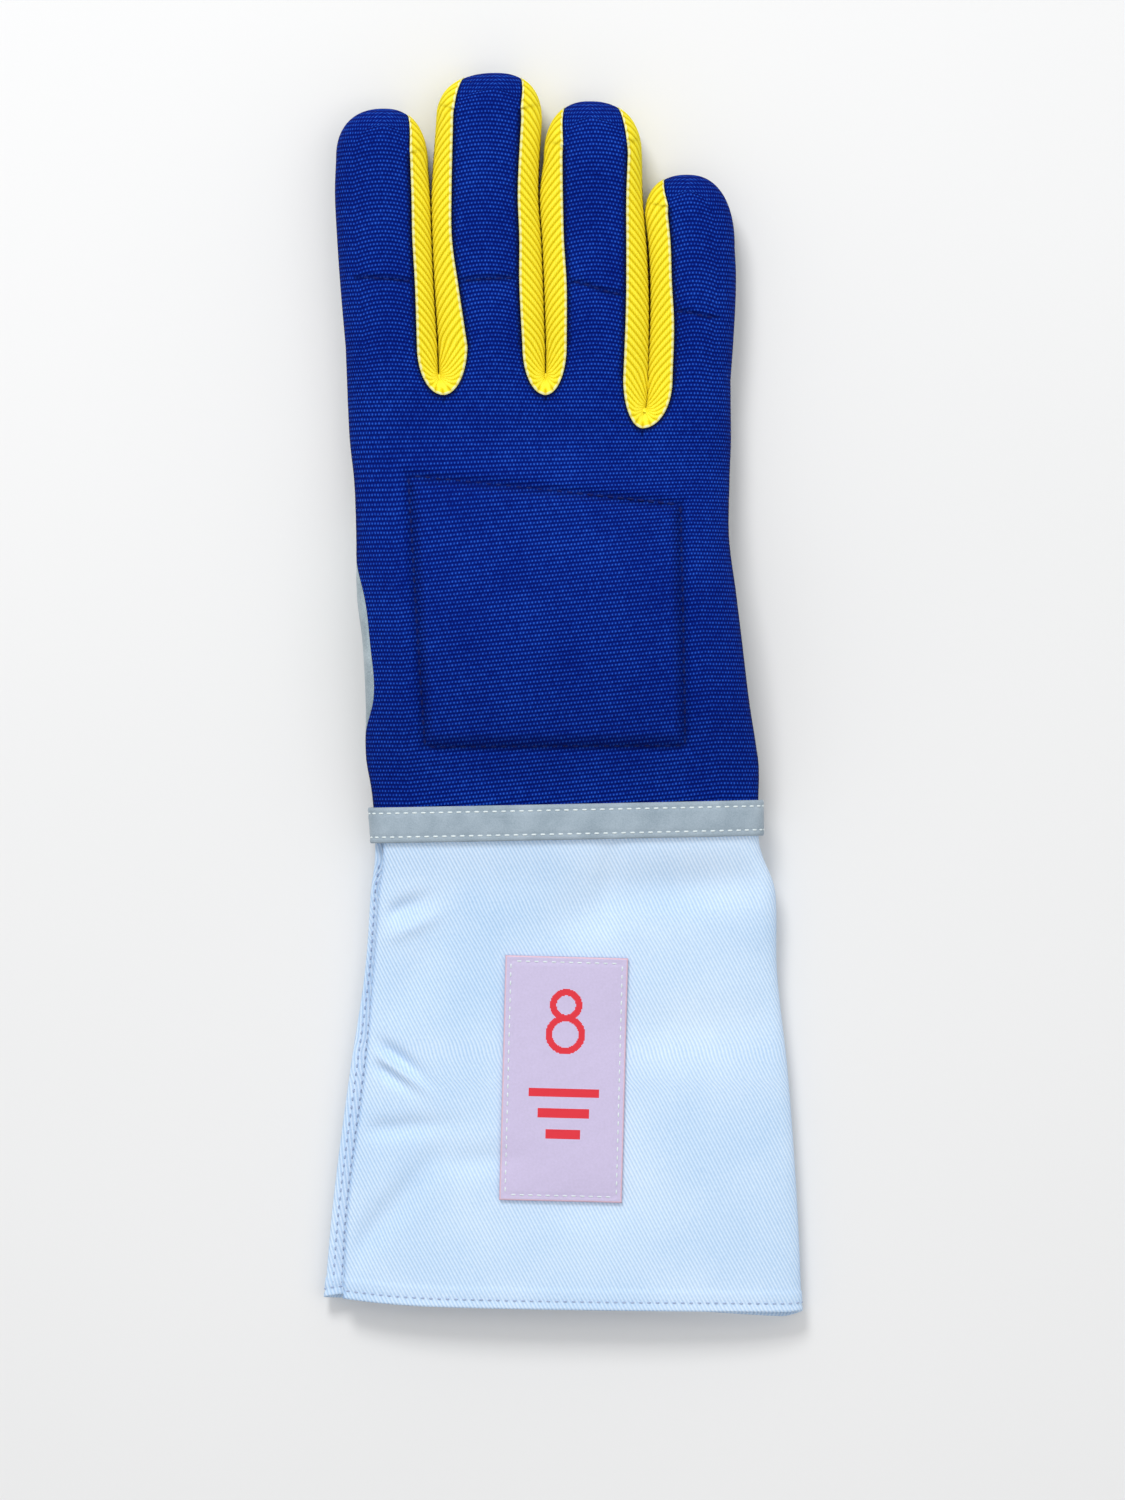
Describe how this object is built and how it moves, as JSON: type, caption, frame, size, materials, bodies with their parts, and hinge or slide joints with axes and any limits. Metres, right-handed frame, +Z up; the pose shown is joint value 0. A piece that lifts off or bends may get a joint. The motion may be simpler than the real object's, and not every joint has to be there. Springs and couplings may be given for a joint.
{
  "type": "fencing glove",
  "caption": "Right-hand fencing glove with a knitted padded back, ribbed strips between the fingers, a suede palm and a long twill cuff, lying palm down.",
  "frame": {"origin": "middle of the ground that the glove covers, at the height of its lowest points", "axes": "+X from the thumb side to the little finger, +Y from the cuff to the fingertips, +Z up out of the back of the hand"},
  "size_m": [0.1368, 0.356, 0.0354],
  "materials": {
    "knit": "royal blue knitted fabric in fine rows",
    "suede": "blue-grey suede",
    "ribs": "bright yellow fabric with raised slanting ribs",
    "padding": "dark blue felt padding, hidden inside",
    "band": "grey suede tape with two rows of pale stitches",
    "twill": "bluish white cotton twill with stitched hems",
    "label": "pale lilac woven label with a white stitched edge"
  },
  "bodies": {
    "root": {"back_panel": "knit", "palm_panel": "suede", "fourchette_index_middle": "ribs", "fourchette_middle_ring": "ribs", "fourchette_ring_little": "ribs", "thumb_sheath": "suede", "back_pad": "padding", "wrist_band": "band", "gauntlet": "twill", "label": "label"}
  },
  "joints": []
}
